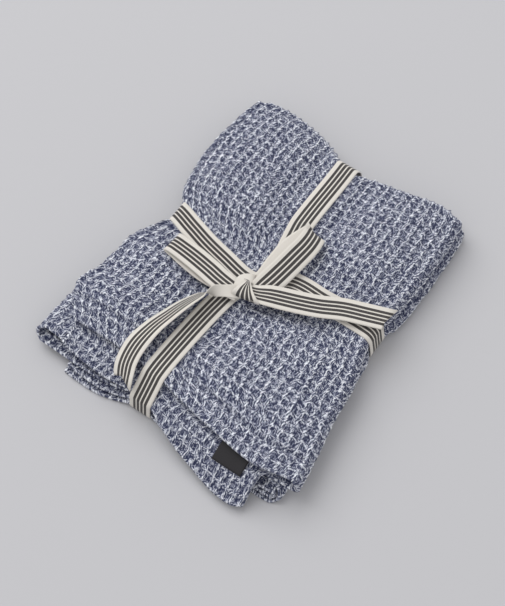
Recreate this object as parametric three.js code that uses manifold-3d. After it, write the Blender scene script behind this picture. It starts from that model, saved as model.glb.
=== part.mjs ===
// A waffle dishcloth, doubled and folded back and forth into a soft bundle, with its woven label,
// tied crosswise with a striped tape ribbon whose bow lies on top.
// Sizes are millimetres. x runs along the bundle, from its far doubled end to its near hemmed end.
// y runs across it, from the side with the loose edges to the side with the two rolls. z is up.
import * as THREE from "three";
import { mergeVertices } from "three/addons/utils/BufferGeometryUtils.js";
import Module from "manifold-3d";

const wasm = await Module();
wasm.setup();

// Driving dimensions of the cloth
const clothThickness = 2.1;
const pitchPressed = 2.7; // from one layer to the next where the bundle is pressed flat
const pitchPuff = 0.85; // what a layer gains in the middle of a puffed quarter
const edgeReach = 30; // a quarter swells over this width from the bundle's edges
const tieReach = 28; // and over this width from the ribbon
const hemDepth = 15;
const hemExtra = 1; // the top flap is this much thicker along its hem
const hemRise = 3; // and thickens over this width
const dropReach = 17; // a layer sinks over this width past the end of the layer below it
const rollEnd = 14; // width of the open end of the loose roll
const topLevel = 8;

// Driving dimensions of the ribbon and the label
const ribbonWidth = 15;
const ribbonThickness = 1;
const gap = 0.3;
const bandStep = 9; // longest step along a band
const shortStep = 0.8; // and shortest
const cornerTurn = 0.4; // radians that a band turns in one step
const channelHalf = ribbonWidth / 2 + 1.5;
const labelWidth = 20;
const labelThickness = 1;

// The bundle's outline. loose is its edge on the side of the loose edges, lowRoll and topRoll are the
// edges of the two rolls on the other side.
const outline = [
  { x: -117, loose: -77, lowRoll: 76, topRoll: 73 },
  { x: -108, loose: -82.5, lowRoll: 79.3, topRoll: 76.4 },
  { x: -90, loose: -85.6, lowRoll: 81.2, topRoll: 78.4 },
  { x: -60, loose: -87, lowRoll: 81.7, topRoll: 79 },
  { x: -32, loose: -82, lowRoll: 80.6, topRoll: 77.2 },
  { x: -12.5, loose: -70.5, lowRoll: 75.5, topRoll: 74 },
  { x: 4, loose: -81, lowRoll: 78.7, topRoll: 78 },
  { x: 20, loose: -88, lowRoll: 81, topRoll: 82 },
  { x: 50, loose: -91.5, lowRoll: 83.4, topRoll: 85.8 },
  { x: 75, loose: -94, lowRoll: 85, topRoll: 90.5 },
  { x: 100, loose: -95.5, lowRoll: 85, topRoll: 93.5 },
];

// How far the top pass stays inside the loose edge
const topInset = [
  { x: 18, inset: 3 },
  { x: 36, inset: 6 },
  { x: 46, inset: 5 },
  { x: 61, inset: 1 },
  { x: 86, inset: 20 },
];

// The far doubled end, at stations across the bundle
const farEnd = [
  { y: -87, x: -109.5 },
  { y: -80, x: -116.5 },
  { y: -68, x: -121.5 },
  { y: -45, x: -120.5 },
  { y: -22, x: -114.5 },
  { y: -4, x: -104 },
  { y: 16, x: -109.6 },
  { y: 38, x: -113.6 },
  { y: 60, x: -118.2 },
  { y: 74, x: -114 },
  { y: 84, x: -106 },
];

// Where each layer ends on x at the near end, at stations across the bundle: on the loose side, in the
// left quarter, under the ribbon and beside it, in the middle and at the crest of the near quarter, and
// at the roll.
const nearStations = { loose: -88, left: -45, ribbon: -15, beside: 4, middle: 24, crest: 63, roll: 84 };
const layers = [
  { level: 8, loose: 84, left: 82.5, ribbon: 85, beside: 88.2, middle: 92, crest: 97, roll: 92.5 },
  { level: 7, loose: 96, left: 100, ribbon: 98, beside: 105.5, middle: 112, crest: 119, roll: 105 },
  { level: 6, loose: 95.5, left: 97, ribbon: 96, beside: 103, middle: 110, crest: 117, roll: 103 },
  { level: 5, loose: 80, left: 81, ribbon: 82, beside: 85, middle: 89, crest: 95, roll: 94 },
  { level: 4, loose: 82, left: 83, ribbon: 84, beside: 87, middle: 90, crest: 93, roll: 97 },
  { level: 3, loose: 101.5, left: 101, ribbon: 96, beside: 98, middle: 99, crest: 101, roll: 100 },
  { level: 2, loose: 102, left: 105, ribbon: 99, beside: 101.5, middle: 102, crest: 103, roll: 102 },
  { level: 1, loose: 106, left: 108, ribbon: 101, beside: 103.5, middle: 104, crest: 105, roll: 104 },
];

// The four passes, from the top down. Each holds two sheets, the outer one, which shows on top, and the
// inner one. step is the way in which the cloth runs across the bundle, 1 towards the rolls.
const passes = [
  { outer: 8, inner: 7, step: 1, farInset: 6 },
  { outer: 5, inner: 6, step: -1, farInset: 2.5 },
  { outer: 4, inner: 3, step: 1, farInset: 1 },
  { outer: 1, inner: 2, step: -1, farInset: 2.5 },
];

// The ribbon's two bands: one lies across the bundle, the other along it.
const crossBand = [
  { y: -90, x: -12.5 },
  { y: -73, x: -12 },
  { y: -56, x: -7 },
  { y: -42, x: -2.8 },
  { y: -27, x: 0.6 },
  { y: -11, x: 4 },
  { y: -3, x: 3.4 },
  { y: 5, x: -2 },
  { y: 17, x: -10.2 },
  { y: 39, x: -11.3 },
  { y: 55, x: -12.5 },
  { y: 90, x: -12.5 },
];
const longBand = [
  { x: -120, y: -4 },
  { x: -90, y: -3 },
  { x: -50, y: -2.6 },
  { x: -38, y: -0.7 },
  { x: -25, y: 1.8 },
  { x: -10, y: 2.4 },
  { x: 5, y: -3.5 },
  { x: 15, y: -10 },
  { x: 22, y: -11.8 },
  { x: 43, y: -13.8 },
  { x: 77, y: -15.2 },
  { x: 92, y: -14.6 },
  { x: 120, y: -13 },
];

// The free runs of the ribbon, from the knot. roll is the lean in degrees about its own length: 0 lies
// flat, and above 0 the edge that is on the left at the knot is raised. wide is the ribbon's width there,
// which is gathered in at the knot.
const leftLoop = [
  { x: 9, y: -4, z: 29, roll: 0, wide: 8 },
  { x: 14.5, y: -15, z: 27.4, roll: 4, wide: 12 },
  { x: 14.3, y: -30, z: 26.3, roll: 5, wide: 15 },
  { x: 12.6, y: -44, z: 26.3, roll: 5, wide: 15 },
  { x: 11, y: -52, z: 26.2, roll: 4, wide: 15 },
  { x: 10.3, y: -57.4, z: 26.5, roll: 4, wide: 15 },
  { x: 10, y: -58.8, z: 27.7, roll: 4, wide: 15 },
  { x: 10, y: -57.2, z: 28.8, roll: 4, wide: 15 },
  { x: 10.3, y: -51, z: 29, roll: 4, wide: 15 },
  { x: 11.5, y: -40, z: 29.4, roll: 2, wide: 15 },
  { x: 13.3, y: -28, z: 29.6, roll: 2, wide: 15 },
  { x: 14.8, y: -20, z: 29.8, roll: 4, wide: 15 },
  { x: 15.6, y: -11, z: 29.4, roll: 0, wide: 14 },
  { x: 15.5, y: -4, z: 28.8, roll: 0, wide: 12 },
];
const rightLoop = [
  { x: 7, y: -1, z: 28.5, roll: 0, wide: 8 },
  { x: -5, y: 2, z: 27, roll: 0, wide: 13.5 },
  { x: -14, y: 2.2, z: 26.7, roll: 0, wide: 15 },
  { x: -28, y: 2.6, z: 26.7, roll: 0, wide: 15 },
  { x: -37, y: 5.2, z: 27.1, roll: 2, wide: 15 },
  { x: -42.6, y: 8, z: 28, roll: 6, wide: 15 },
  { x: -44.2, y: 9.2, z: 29.4, roll: 9, wide: 15 },
  { x: -42, y: 10.3, z: 30.8, roll: 12, wide: 15 },
  { x: -34, y: 11.2, z: 32.2, roll: 17, wide: 15.6 },
  { x: -23.3, y: 10.4, z: 32.6, roll: 20, wide: 16 },
  { x: -12.5, y: 8.9, z: 31.6, roll: 19, wide: 16 },
  { x: -3, y: 7.2, z: 30.4, roll: 16, wide: 16 },
  { x: 3.5, y: 5.6, z: 29.5, roll: 12, wide: 15 },
  { x: 10, y: 4, z: 28.6, roll: 4, wide: 13 },
];
const leftTail = [
  { x: 15, y: -4, z: 29.8, roll: 166, wide: 8.5 },
  { x: 17.2, y: -7.2, z: 30.4, roll: 166, wide: 8.4 },
  { x: 20.4, y: -11.8, z: 31, roll: 158, wide: 7.4 },
  { x: 23.4, y: -15.8, z: 31.3, roll: 132, wide: 7.6 },
  { x: 26.3, y: -19, z: 31.3, roll: 74, wide: 10 },
  { x: 30.3, y: -21.3, z: 31, roll: 51, wide: 14 },
  { x: 41.9, y: -26.3, z: 30.5, roll: 40, wide: 15 },
  { x: 52.2, y: -29.3, z: 30.3, roll: 34, wide: 15 },
  { x: 64.2, y: -32.4, z: 29.7, roll: 25, wide: 15 },
  { x: 78, y: -33.8, z: 28.2, roll: 15, wide: 15 },
  { x: 90, y: -32.2, z: 25.4, roll: 22, wide: 15 },
  { x: 98, y: -28.5, z: 21.8, roll: 40, wide: 15 },
];
const rightTail = [
  { x: 12, y: 0.5, z: 30.6, roll: -10, wide: 11.5 },
  { x: 10.8, y: 6, z: 31.6, roll: -8, wide: 13 },
  { x: 7.8, y: 12.7, z: 31.8, roll: -2, wide: 14.6 },
  { x: 4.9, y: 19, z: 31, roll: 0, wide: 15 },
  { x: 0.8, y: 28.4, z: 30, roll: 0, wide: 15 },
  { x: -4.5, y: 39.6, z: 29, roll: 0, wide: 15 },
  { x: -11.9, y: 52.5, z: 28, roll: 0, wide: 15 },
  { x: -17.6, y: 65.7, z: 26.8, roll: 0, wide: 15 },
  { x: -22.5, y: 77, z: 25.6, roll: 0, wide: 15 },
];
// Direction of each loop's width in plan
const leftLoopSide = new THREE.Vector3(1, -0.04, 0).normalize();
const rightLoopSide = new THREE.Vector3(-0.2, -0.98, 0).normalize();
// How far the cut end of each tail slants, as a share of the ribbon's width
const leftTailCut = 0.9;
const rightTailCut = 0.65;
const knot = { x: 12.3, y: -0.8, z: 29.3, long: 7.5, wide: 6, high: 4.8, turn: 75 };
// The band along the bundle is gathered on top, where it runs under the bow, to this share of its width.
const gathered = { share: 0.7, above: 12, x: -5, fade: 14 };
const overFade = 6; // it climbs over the other band in this width

// Moves the origin to the middle of the bundle's underside
const toCentre = new THREE.Vector3(0.7, 1.7, 0);

// Colours and finish
const clothMaterial = new THREE.MeshStandardMaterial({ color: 0x8a91ac, roughness: 0.95, metalness: 0 });
const ribbonMaterial = new THREE.MeshStandardMaterial({ color: 0xd9d3ca, roughness: 0.85, metalness: 0 });
const labelMaterial = new THREE.MeshStandardMaterial({ color: 0x2b2a2d, roughness: 0.8, metalness: 0 });

const mix = (a, b, t) => a + (b - a) * t;
const clamp = (v, low, high) => Math.min(high, Math.max(low, v));

// 0 below 0, 1 above 1 and a soft curve between
function ease(t) {
  const s = clamp(t, 0, 1);
  return s * s * (3 - 2 * s);
}

// The value of a table's column at a place on its first column, on one smooth curve through its rows
function read(rows, key, column, at) {
  const p = clamp(at, rows[0][key], rows[rows.length - 1][key]);
  let i = 0;
  while (i < rows.length - 2 && p > rows[i + 1][key]) i += 1;
  const slope = (k) => {
    const before = rows[Math.max(k - 1, 0)];
    const after = rows[Math.min(k + 1, rows.length - 1)];
    return (after[column] - before[column]) / (after[key] - before[key]);
  };
  const step = rows[i + 1][key] - rows[i][key];
  const t = (p - rows[i][key]) / step;
  const line = mix(rows[i][column], rows[i + 1][column], ease(t));
  const start = slope(i) * step * t * (1 - t) * (1 - t);
  const finish = slope(i + 1) * step * t * t * (1 - t);
  return line + start - finish;
}

const crossX = (y) => read(crossBand, "y", "x", y);
const longY = (x) => read(longBand, "x", "y", x);
const farX = (y) => read(farEnd, "y", "x", y);
const edgeY = (side, x) => read(outline, "x", side, x);

// Each layer's near end as a table of its own, so that it is read like the others
const nearTables = new Map(
  layers.map((layer) => [
    layer.level,
    Object.entries(nearStations).map(([name, y]) => ({ y, x: layer[name] })),
  ]),
);
const nearX = (level, y) => read(nearTables.get(level), "y", "x", y);

// 1 along the bed of a band and 0 past its sides
function bed(distance, fade) {
  return 1 - ease((Math.abs(distance) - channelHalf) / fade);
}

// Height of the cloth's underside: 0 where it rests, and raised over the ribbon that passes below it
function underside(x, y) {
  const fade = 8;
  const cross = bed(x - crossX(y), fade);
  const along = bed(y - longY(x), fade);
  const one = ribbonThickness + 3 * gap;
  return one * Math.max(cross, along) + (ribbonThickness + 2 * gap) * cross * along;
}

// From one layer to the next: least under the ribbon and at the edges, most within the quarters
function pitchAt(x, y) {
  const tie = (1 - bed(x - crossX(y), tieReach)) * (1 - bed(y - longY(x), tieReach));
  const ends = ease((x - farX(y)) / edgeReach) * ease((nearX(topLevel, y) - x) / edgeReach);
  const sides =
    ease((y - edgeY("loose", x)) / edgeReach) * ease((edgeY("topRoll", x) - y) / edgeReach);
  return pitchPressed + pitchPuff * tie * ends * sides;
}

// The top flap is thicker along its hem
function hemAt(level, x, y) {
  if (level !== topLevel) return 0;
  return hemExtra * ease((x - (nearX(level, y) - hemDepth)) / hemRise);
}

// How far a layer sinks past the end of the one below it: 0 where it lies on it and 1 past it. The
// outer sheet of the loose roll stays up beyond the ends of the two sheets inside, so its end is open.
function sinkPast(below, x, y) {
  const inRoll = below === 4 || below === 5;
  const open = inRoll ? 1 - ease((y - edgeY("loose", x) - rollEnd) / rollEnd) : 0;
  return (1 - open) * ease((x - nearX(below, y)) / dropReach);
}

// Height of the middle of a layer, on top of the layers that lie below it
function levelZ(level, x, y) {
  const pitch = pitchAt(x, y);
  let z = underside(x, y) + clothThickness / 2;
  for (let below = 1; below < level; below += 1) z += pitch * (1 - sinkPast(below, x, y));
  if (level === topLevel) z += labelRoom(x, y);
  return z + hemAt(level, x, y) / 2;
}

// The label comes out from under the top flap, which is lifted there to make room for it
const labelY = 50.8;
const labelStart = 88;
const labelEnd = 104.5;
const room = { beside: 8, fade: 14, behind: 10, rise: 8 };
function labelRoom(x, y) {
  const wide = 1 - ease((Math.abs(y - labelY) - labelWidth / 2 - room.beside) / room.fade);
  const long = ease((x - (labelStart - room.behind)) / room.rise);
  return (labelThickness + 2 * gap) * wide * long;
}

// The plan grid of the layers. Its lines follow the two bands, so that no facet spans a bed's side.
const crossLines = [-95, -84, -66, -46, -26, -9.5, 9.5, 26, 44, 60, 72, 82];
const longLines = [-64, -45, -26, -9.5, 9.5, 26, 46, 62, 76];
const crossMiddle = -6;
const longMiddle = -9;
const crossFade = 100; // a line this far from the band across is straight
const longFade = 80; // and one this far from the band along
const nearSteps = 3;
const farStart = -108; // about where the two ends lie on x
const nearStart = 90;

function gridX(distance, y) {
  return crossMiddle + distance + (crossX(y) - crossMiddle) * (1 - Math.abs(distance) / crossFade);
}

function gridY(distance, x) {
  return longMiddle + distance + (longY(x) - longMiddle) * (1 - Math.abs(distance) / longFade);
}

// Radius of the doubled edge at the far end
const endRadius = pitchPressed / 2 + clothThickness / 2;

// x of the stations of one layer, from the far end to the near one. yAt gives y from x.
function stationsAlong(level, inset, yAt) {
  const common = crossLines.map((d) => gridX(d, yAt(crossMiddle + d)));
  const last = common[common.length - 1];
  const end = nearX(level, yAt(nearStart));
  const near = Array.from({ length: nearSteps }, (_, k) => mix(last, end, (k + 1) / nearSteps));
  return [farX(yAt(farStart)) + endRadius + inset, ...common, ...near];
}

// The two sheets of a roll meet the passes on its middle line, and bulge past it by the roll's radius
const rollSteps = 4;
const endSteps = 3;

// Two edges are drawn in towards the hemmed end: from start, over a length, by a width.
const innerDrawn = { start: 76, over: 22, by: 20 };
const lowestDrawn = { start: 70, over: 30, by: 22 };
const lowestInset = 6;
const drawnIn = (drawn, x) => drawn.by * ease((x - drawn.start) / drawn.over);

// Middle line of the roll, or the loose edge, where one pass ends across the bundle
function turnY(side, sheet, x) {
  const radius = 1.5 * pitchPressed + clothThickness / 2;
  if (side === "topRoll") {
    // Near the hemmed end the inner sheet turns back sooner, and shows its own rolled end.
    const sooner = sheet === "inner" ? drawnIn(innerDrawn, x) : 0;
    return edgeY("topRoll", x) - radius - sooner;
  }
  if (side === "lowRoll") return edgeY("lowRoll", x) - radius;
  if (side === "looseRoll") return edgeY("loose", x) + radius;
  // The top pass ends in loose edges, drawn in at the near corner where the pass below shows.
  if (side === "topLoose") return edgeY("loose", x) + read(topInset, "x", "inset", x);
  // The lowest pass is drawn back at the same corner, under the open end of the roll.
  return edgeY("loose", x) + lowestInset + drawnIn(lowestDrawn, x);
}

// The sides at which the passes turn or end, in the order in which the cloth reaches them
const turns = ["topLoose", "topRoll", "looseRoll", "lowRoll", "bottomLoose"];

// One station of the section: a pass and a line across it, or a step of a roll between two passes
function sectionStations() {
  const list = [];
  passes.forEach((pass, p) => {
    const lines = pass.step > 0 ? longLines : [...longLines].reverse();
    list.push({ p, turn: turns[p] });
    lines.forEach((line) => list.push({ p, line }));
    list.push({ p, turn: turns[p + 1] });
    if (p < passes.length - 1) {
      for (let k = 1; k < rollSteps; k += 1) {
        list.push({ p, turn: turns[p + 1], angle: (Math.PI * k) / rollSteps });
      }
    }
  });
  return list;
}

// Point of the middle of a sheet, at one station of the section and one station along the bundle
function clothPoint(station, sheet, j) {
  const pass = passes[station.p];
  const level = pass[sheet];
  const yAt = (x) => (station.turn ? turnY(station.turn, sheet, x) : gridY(station.line, x));
  const x = stationsAlong(level, pass.farInset, yAt)[j];
  const y = yAt(x);
  const z = levelZ(level, x, y);
  if (station.angle === undefined) return new THREE.Vector3(x, y, z);
  const next = passes[station.p + 1];
  const nextX = stationsAlong(next[sheet], next.farInset, yAt)[j];
  const lower = levelZ(next[sheet], nextX, turnY(station.turn, sheet, nextX));
  const radius = (z - lower) / 2;
  const turned = station.angle / Math.PI;
  return new THREE.Vector3(
    mix(x, nextX, turned),
    mix(y, turnY(station.turn, sheet, nextX), turned) + pass.step * radius * Math.sin(station.angle),
    lower + radius + radius * Math.cos(station.angle),
  );
}

// Middle surface of the whole cloth: a row for each station of the section, each running from the hem
// of the outer sheet to the far end, round its doubled edge, and back to the hem of the inner sheet
function clothRows() {
  const count = crossLines.length + nearSteps;
  return sectionStations().map((station) => {
    const outer = [];
    const inner = [];
    for (let j = 0; j <= count; j += 1) {
      outer.push(clothPoint(station, "outer", j));
      inner.push(clothPoint(station, "inner", j));
    }
    const across = outer[0].clone().sub(inner[0]).multiplyScalar(0.5);
    const middle = outer[0].clone().add(inner[0]).multiplyScalar(0.5);
    const fold = [];
    for (let k = 1; k < endSteps; k += 1) {
      const angle = (Math.PI * k) / endSteps;
      const point = middle.clone().addScaledVector(across, Math.cos(angle));
      point.x -= across.length() * Math.sin(angle);
      fold.push(point);
    }
    return [...outer.reverse(), ...fold, ...inner];
  });
}

// A closed solid from its corners and triangles, with its faces turned outwards
function closedSolid(points, triangles) {
  let volume = 0;
  const normal = new THREE.Vector3();
  for (const [a, b, c] of triangles) {
    volume += points[a].dot(normal.crossVectors(points[b], points[c]));
  }
  const index = triangles.flatMap(([a, b, c]) => (volume < 0 ? [a, c, b] : [a, b, c]));
  const geometry = new THREE.BufferGeometry();
  geometry.setAttribute(
    "position",
    new THREE.Float32BufferAttribute(points.flatMap((p) => [p.x, p.y, p.z]), 3),
  );
  geometry.setIndex(index);
  return geometry;
}

// Two triangles of a four-sided facet, split along its first or its second diagonal
function facet(a, b, c, d, second) {
  return second
    ? [[a, b, d], [b, c, d]]
    : [[a, b, c], [a, c, d]];
}

// Direction square to a grid of points at one of them
function gridNormal(rows, i, j) {
  const last = rows.length - 1;
  const end = rows[0].length - 1;
  const down = rows[Math.min(i + 1, last)][j].clone().sub(rows[Math.max(i - 1, 0)][j]);
  const along = rows[i][Math.min(j + 1, end)].clone().sub(rows[i][Math.max(j - 1, 0)]);
  return down.cross(along).normalize();
}

// A sheet of even thickness, but for its hem, about its middle surface
function thickSheet(rows, thicknessAt, secondDiagonal) {
  const height = rows.length;
  const width = rows[0].length;
  const points = [];
  for (const side of [1, -1]) {
    for (let i = 0; i < height; i += 1) {
      for (let j = 0; j < width; j += 1) {
        const offset = (side * thicknessAt(i, j)) / 2;
        points.push(rows[i][j].clone().addScaledVector(gridNormal(rows, i, j), offset));
      }
    }
  }
  const front = (i, j) => i * width + j;
  const back = (i, j) => height * width + i * width + j;
  const triangles = [];
  for (let i = 0; i < height - 1; i += 1) {
    for (let j = 0; j < width - 1; j += 1) {
      const second = secondDiagonal(i, j);
      triangles.push(...facet(front(i, j), front(i + 1, j), front(i + 1, j + 1), front(i, j + 1), second));
      triangles.push(...facet(back(i, j), back(i, j + 1), back(i + 1, j + 1), back(i + 1, j), !second));
    }
  }
  for (let i = 0; i < height - 1; i += 1) {
    const far = width - 1;
    triangles.push(...facet(front(i, 0), back(i, 0), back(i + 1, 0), front(i + 1, 0), false));
    triangles.push(...facet(front(i, far), front(i + 1, far), back(i + 1, far), back(i, far), false));
  }
  for (let j = 0; j < width - 1; j += 1) {
    const low = height - 1;
    triangles.push(...facet(front(0, j), front(0, j + 1), back(0, j + 1), back(0, j), false));
    triangles.push(...facet(front(low, j), back(low, j), back(low, j + 1), front(low, j + 1), false));
  }
  return closedSolid(points, triangles);
}

function makeCloth() {
  const rows = clothRows();
  const stations = sectionStations();
  const middle = (rows[0].length - 1) / 2;
  // The top flap's first few stations lie in its hem.
  const thicknessAt = (i, j) => {
    const onFlap = stations[i].p === 0 && j < middle && stations[i].angle === undefined;
    const point = rows[i][j];
    return clothThickness + (onFlap ? hemAt(topLevel, point.x, point.y) : 0);
  };
  // Layers that lie on each other are split the same way in plan.
  const secondDiagonal = (i, j) => (passes[stations[i].p].step > 0) === (j < middle);
  const cloth = new THREE.Mesh(thickSheet(rows, thicknessAt, secondDiagonal), clothMaterial);
  cloth.name = "cloth";
  return cloth;
}

// A flat strip through the given stations. Each has its middle point and the direction of its width.
function stripSolid(stations, width, thickness, closed) {
  const count = stations.length;
  const points = [];
  stations.forEach(({ middle, across }, i) => {
    const next = stations[closed ? (i + 1) % count : Math.min(i + 1, count - 1)].middle;
    const before = stations[closed ? (i + count - 1) % count : Math.max(i - 1, 0)].middle;
    const out = new THREE.Vector3().crossVectors(next.clone().sub(before), across).normalize();
    for (const [w, t] of [[1, 1], [-1, 1], [-1, -1], [1, -1]]) {
      points.push(
        middle.clone().addScaledVector(across, (w * width) / 2).addScaledVector(out, (t * thickness) / 2),
      );
    }
  });
  const triangles = [];
  const spans = closed ? count : count - 1;
  for (let i = 0; i < spans; i += 1) {
    const a = i * 4;
    const b = ((i + 1) % count) * 4;
    for (let k = 0; k < 4; k += 1) {
      const m = (k + 1) % 4;
      triangles.push(...facet(a + k, b + k, b + m, a + m, false));
    }
  }
  if (!closed) {
    const z = (count - 1) * 4;
    triangles.push(...facet(0, 1, 2, 3, false), ...facet(z + 3, z + 2, z + 1, z, false));
  }
  return closedSolid(points, triangles);
}

// Convex outline of points in a plane, anticlockwise
function hull(points) {
  const sorted = [...points].sort((p, q) => p.x - q.x || p.y - q.y);
  const half = (list) => {
    const out = [];
    for (const p of list) {
      while (out.length > 1) {
        const a = out[out.length - 2];
        const b = out[out.length - 1];
        if ((b.x - a.x) * (p.y - a.y) - (b.y - a.y) * (p.x - a.x) > 1e-9) break;
        out.pop();
      }
      out.push(p);
    }
    return out.slice(0, -1);
  };
  return [...half(sorted), ...half([...sorted].reverse())];
}

// The points of the cloth's edges that lie under a band, and those where an edge crosses its sides
function pointsWithin(cloth, centre) {
  const reach = ribbonWidth / 2 + gap;
  const position = cloth.geometry.getAttribute("position");
  const index = cloth.geometry.getIndex();
  const found = [];
  for (let i = 0; i < index.count; i += 1) {
    const next = i % 3 === 2 ? i - 2 : i + 1;
    const a = new THREE.Vector3().fromBufferAttribute(position, index.getX(i));
    const b = new THREE.Vector3().fromBufferAttribute(position, index.getX(next));
    const from = centre(a);
    const to = centre(b);
    if (Math.abs(from) < reach) found.push(a);
    for (const side of [-reach, reach]) {
      const t = (side - from) / (to - from);
      if (t > 0 && t < 1) found.push(a.clone().lerp(b, t));
    }
  }
  return found;
}

// The outline moved outwards, with its corners rounded and its long straights cut into steps
function tautLoop(points, clearance) {
  const corners = hull(points);
  const rounded = [];
  corners.forEach((p, i) => {
    const before = corners[(i + corners.length - 1) % corners.length];
    const after = corners[(i + 1) % corners.length];
    const first = Math.atan2(before.x - p.x, p.y - before.y);
    const last = Math.atan2(p.x - after.x, after.y - p.y);
    const turn = (last - first + 2 * Math.PI) % (2 * Math.PI);
    const parts = Math.ceil(turn / cornerTurn);
    for (let k = 0; k <= parts; k += 1) {
      const angle = first + (turn * k) / parts;
      rounded.push(
        new THREE.Vector2(p.x + clearance * Math.cos(angle), p.y + clearance * Math.sin(angle)),
      );
    }
  });
  const spaced = [rounded[0]];
  [...rounded.slice(1), rounded[0]].forEach((p, i, list) => {
    const before = spaced[spaced.length - 1];
    const cuts = Math.ceil(p.distanceTo(before) / bandStep);
    if (p.distanceTo(before) < shortStep) return;
    for (let k = 1; k <= cuts; k += 1) {
      if (i === list.length - 1 && k === cuts) return;
      spaced.push(before.clone().lerp(p, k / cuts));
    }
  });
  return spaced;
}

// A band of the ribbon, drawn taut round the cloth that lies within its width
function bandStations(clothPoints, place) {
  const flat = clothPoints.map((p) => new THREE.Vector2(place.along(p), p.z));
  const clearance = 2 * gap + ribbonThickness / 2;
  return tautLoop(flat, clearance).map((q) => place.station(q.x, q.y));
}

const crossPlace = {
  along: (p) => p.y,
  station: (y, z) => {
    const slant = (crossX(y + 1) - crossX(y - 1)) / 2;
    return {
      middle: new THREE.Vector3(crossX(y), y, z),
      across: new THREE.Vector3(Math.hypot(1, slant), 0, 0),
    };
  },
};

// Where the bands cross, the long one passes between the other and the cloth, or over it on top.
const longPlace = {
  along: (p) => p.x,
  station: (x, z) => {
    const y = longY(x);
    const slant = (longY(x + 1) - longY(x - 1)) / 2;
    const over = (ribbonThickness + gap) * bed(x - crossX(y), overFade);
    const narrow = mix(1, gathered.share, bed(x - gathered.x, gathered.fade));
    const share = z > gathered.above ? narrow : 1;
    return {
      middle: new THREE.Vector3(x, y, z + over),
      across: new THREE.Vector3(0, Math.hypot(1, slant) * share, 0),
    };
  },
};

// A free run of the ribbon, from its table, with its end cut on a slant. A loop's width keeps one
// direction in plan, so that the loop ends in a straight fold.
function freeStations(rows, steps, cut, loopSide) {
  const line = new THREE.CatmullRomCurve3(rows.map((row) => new THREE.Vector3(row.x, row.y, row.z)));
  const lean = new THREE.CatmullRomCurve3(rows.map((row) => new THREE.Vector3(row.roll, row.wide, 0)));
  return Array.from({ length: steps + 1 }, (_, k) => {
    const t = k / steps;
    const ahead = line.getTangent(t);
    const side = loopSide ? loopSide.clone() : new THREE.Vector3(-ahead.y, ahead.x, 0).normalize();
    const angle = THREE.MathUtils.degToRad(lean.getPoint(t).x);
    const width = lean.getPoint(t).y / ribbonWidth;
    const across = side.multiplyScalar(Math.cos(angle)).add(new THREE.Vector3(0, 0, Math.sin(angle)));
    across.addScaledVector(ahead, -across.dot(ahead)).normalize();
    if (k === steps) across.addScaledVector(ahead, cut);
    return { middle: line.getPoint(t), across: across.multiplyScalar(width) };
  });
}

function solidOf(geometry) {
  geometry.deleteAttribute("normal");
  geometry.deleteAttribute("uv");
  const merged = mergeVertices(geometry, 1e-4);
  return new wasm.Manifold(
    new wasm.Mesh({
      numProp: 3,
      vertProperties: new Float32Array(merged.getAttribute("position").array),
      triVerts: new Uint32Array(merged.getIndex().array),
    }),
  );
}

function geometryOf(solid) {
  const mesh = solid.getMesh();
  const geometry = new THREE.BufferGeometry();
  geometry.setAttribute("position", new THREE.BufferAttribute(mesh.vertProperties, 3));
  geometry.setIndex(new THREE.BufferAttribute(mesh.triVerts, 1));
  return geometry;
}

function knotGeometry() {
  const ball = new THREE.SphereGeometry(1, 12, 8);
  ball.scale(knot.long, knot.wide, knot.high);
  ball.rotateZ(THREE.MathUtils.degToRad(knot.turn));
  ball.translate(knot.x, knot.y, knot.z);
  return ball;
}

// The ribbon is one length of tape: two bands, the knot, two loops and two tails, joined as one solid.
function makeRibbon(cloth) {
  const cross = bandStations(pointsWithin(cloth, (p) => p.x - crossX(p.y)), crossPlace);
  const along = bandStations(pointsWithin(cloth, (p) => p.y - longY(p.x)), longPlace);
  const strip = (stations, closed) =>
    solidOf(stripSolid(stations, ribbonWidth, ribbonThickness, closed));
  const pieces = [
    strip(cross, true),
    strip(along, true),
    strip(freeStations(leftLoop, 24, 0, leftLoopSide), false),
    strip(freeStations(rightLoop, 24, 0, rightLoopSide), false),
    strip(freeStations(leftTail, 18, leftTailCut), false),
    strip(freeStations(rightTail, 12, rightTailCut), false),
  ];
  const joined = pieces.reduce((all, piece) => all.add(piece), solidOf(knotGeometry()));
  const ribbon = new THREE.Mesh(geometryOf(joined), ribbonMaterial);
  ribbon.name = "ribbon";
  return ribbon;
}

// The label hangs out from under the top flap and lies on the sheet below it.
function makeLabel() {
  const steps = 4;
  const clearance = clothThickness / 2 + 1.5 * gap + labelThickness / 2;
  const rows = Array.from({ length: steps + 1 }, (_, i) =>
    Array.from({ length: steps + 1 }, (_, j) => {
      const x = mix(labelStart, labelEnd, i / steps);
      const y = labelY + labelWidth * (j / steps - 0.5);
      const z = levelZ(7, x, y);
      const slope = new THREE.Vector3(levelZ(7, x - 1, y) - z, levelZ(7, x, y - 1) - z, 1);
      return new THREE.Vector3(x, y, z).addScaledVector(slope.normalize(), clearance);
    }),
  );
  const label = new THREE.Mesh(
    thickSheet(rows, () => labelThickness, () => false),
    labelMaterial,
  );
  label.name = "label";
  return label;
}

const bundle = new THREE.Group();
const cloth = makeCloth();
bundle.add(cloth, makeRibbon(cloth), makeLabel());
bundle.position.copy(toCentre);

export default bundle;
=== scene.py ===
# %% [markdown]
# A waffle dishcloth, doubled, folded back and forth into a bundle and tied crosswise with a tape
# ribbon. The bundle's solid comes from the CAD frame. This lesson puts real cloth on its folds: a
# mesh with the waffle's ridges and pockets, a thin woven ribbon, and a small black label.

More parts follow.
